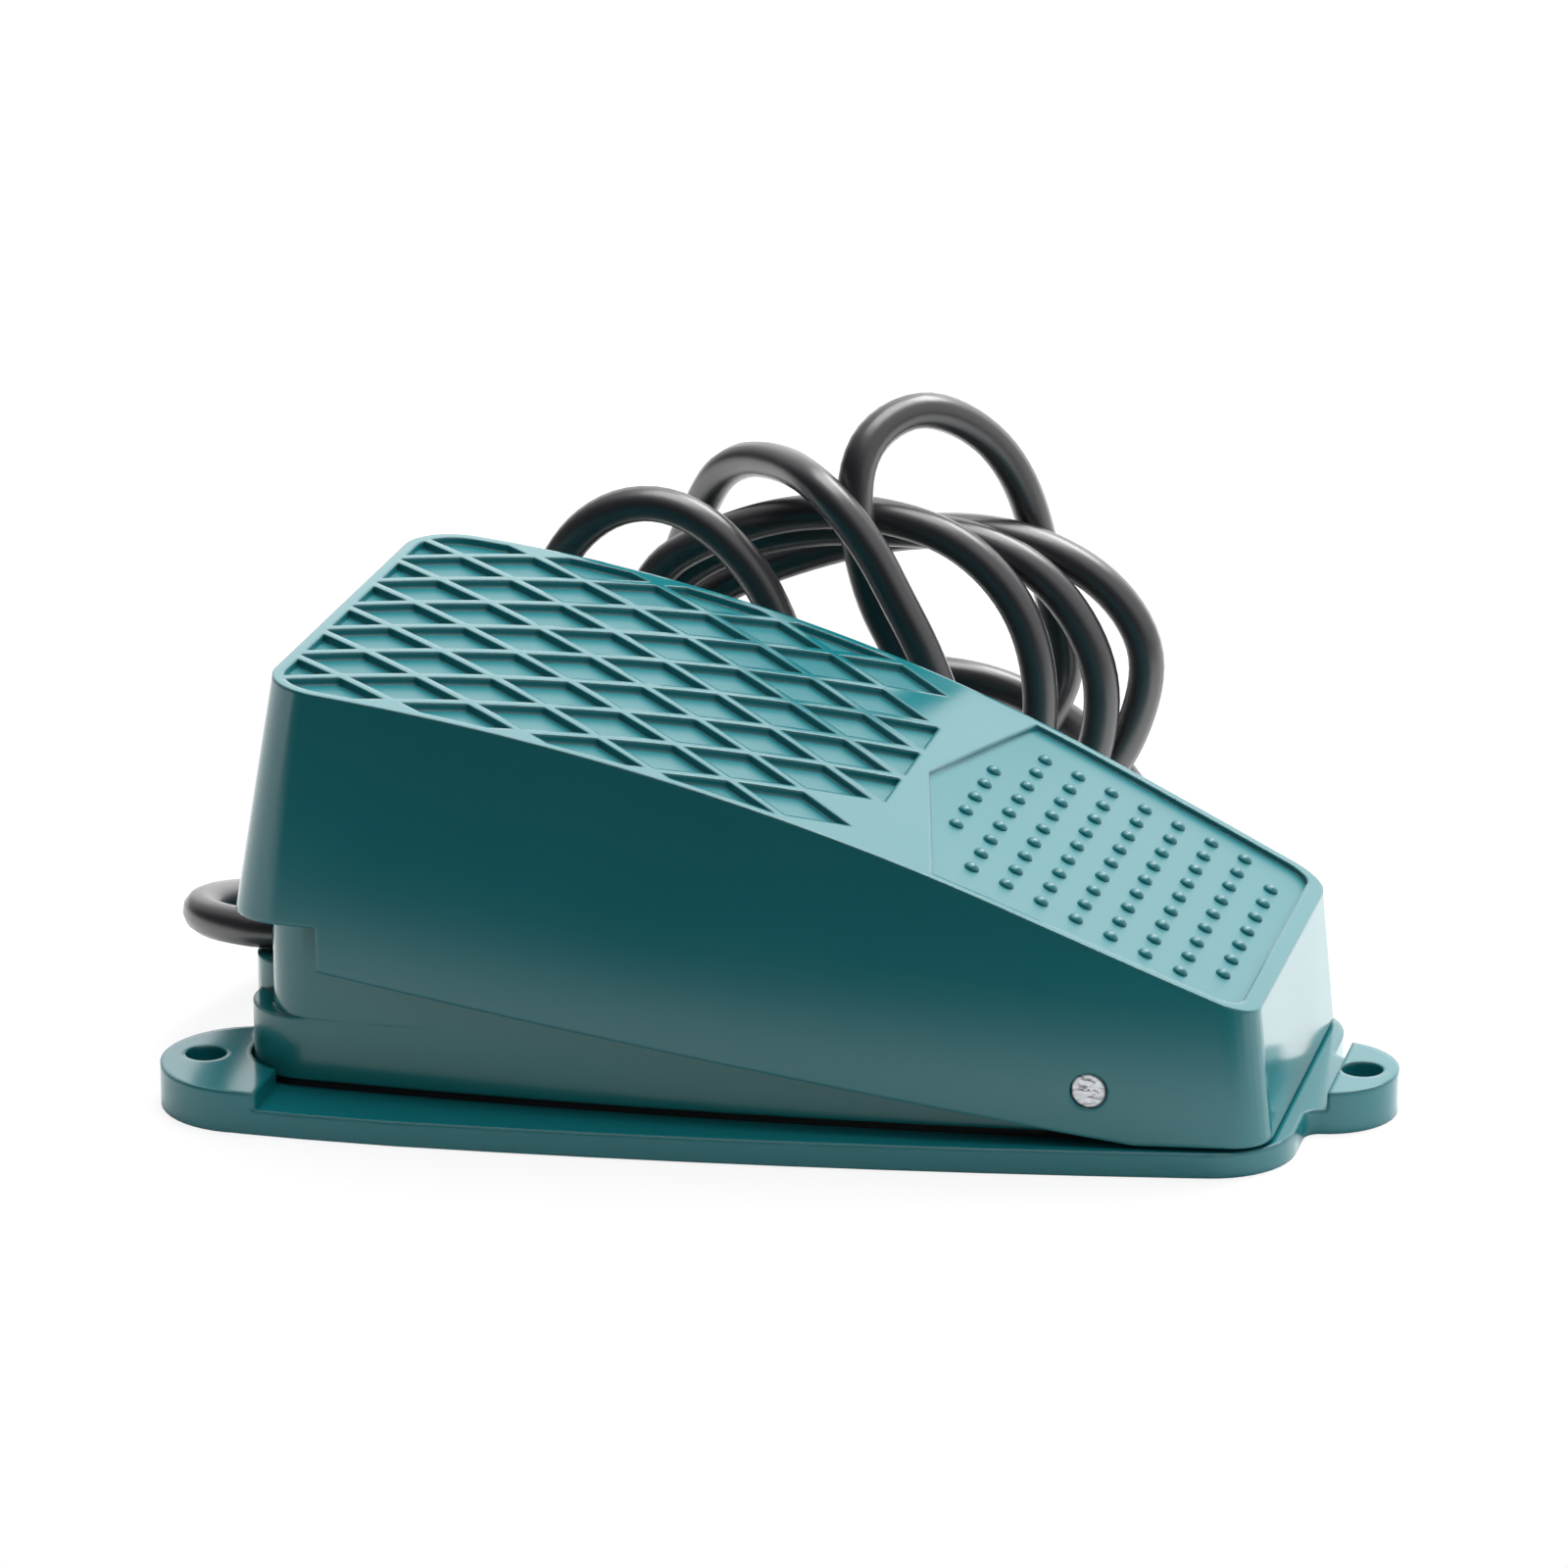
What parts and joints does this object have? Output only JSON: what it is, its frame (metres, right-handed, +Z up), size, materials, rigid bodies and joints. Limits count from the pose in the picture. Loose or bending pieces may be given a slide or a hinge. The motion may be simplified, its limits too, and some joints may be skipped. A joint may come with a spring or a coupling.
{
  "type": "industrial foot switch",
  "caption": "Treadle foot switch: ribbed pedal hinged over a closed switch housing on a three-hole base plate, with a black supply cord coiled behind it.",
  "frame": {"origin": "middle of the base plate's underside: centre of the box round the object without its cord, at floor level", "axes": "+X towards the heel end with the single mounting ear, -X towards the toe end where the cord leaves, +Y to the far side, +Z up"},
  "size_m": [0.2052, 0.1941, 0.0951],
  "materials": {
    "pedal_teal": "glossy moulded, light grain",
    "base_teal": "glossy moulded",
    "housing_teal": "glossy moulded, darker",
    "rubber_black": "matt",
    "zinc_steel": "zinc plated",
    "spring_steel": "bright wire",
    "nylon_white": "satin",
    "brass_bush": "turned",
    "phenolic_black": "satin",
    "button_red": "satin",
    "cord_black": "soft sheen",
    "core_brown": "satin",
    "core_blue": "satin",
    "core_green": "satin, green and yellow"
  },
  "bodies": {
    "base": {"base_plate": "base_teal", "base_gasket": "rubber_black", "housing_shell": "housing_teal", "base_screws": "zinc_steel", "plunger_guide": "brass_bush", "return_spring": "spring_steel", "stop_buffers": "rubber_black", "switch_bracket": "zinc_steel", "bracket_screws": "zinc_steel", "switch_case": "phenolic_black", "switch_screws": "zinc_steel", "switch_terminals": "brass_bush", "cord_grommet": "rubber_black", "cord_inner": "cord_black", "cord_clamp": "nylon_white", "clamp_screws": "zinc_steel", "wire_live": "core_brown", "wire_neutral": "core_blue", "wire_earth": "core_green", "earth_screw": "brass_bush", "cord_lead": "cord_black", "cord_coil": "cord_black", "cord_tie": "rubber_black", "cord_tail": "cord_black", "core_live": "core_brown", "core_neutral": "core_blue", "core_earth": "core_green"},
    "pedal": {"pedal_shell": "pedal_teal", "hinge_pin": "zinc_steel", "actuator_screw": "zinc_steel", "lock_nut": "zinc_steel"},
    "plunger": {"plunger": "nylon_white"},
    "button": {"switch_button": "button_red"}
  },
  "joints": [
    {"name": "pedal_hinge", "type": "hinge", "parent": "base", "child": "pedal", "pos_m": [0.0558, 0, 0.014], "axis": [0, -1, 0], "range_deg": [0, 4], "stiffness_Nm_per_rad": 50, "springref_deg": -1.43, "deforming": ["return_spring"]},
    {"name": "plunger_slide", "type": "slide", "parent": "base", "child": "plunger", "axis": [0, 0, -1], "range_m": [0, 0.0016]},
    {"name": "button_slide", "type": "slide", "parent": "base", "child": "button", "axis": [0, 0, -1], "range_m": [0, 0.0016]}
  ],
  "couplings": [
    {"joint": "plunger_slide", "follows": "pedal_hinge", "m_per_rad": 0.0218},
    {"joint": "button_slide", "follows": "pedal_hinge", "m_per_rad": 0.0218}
  ]
}
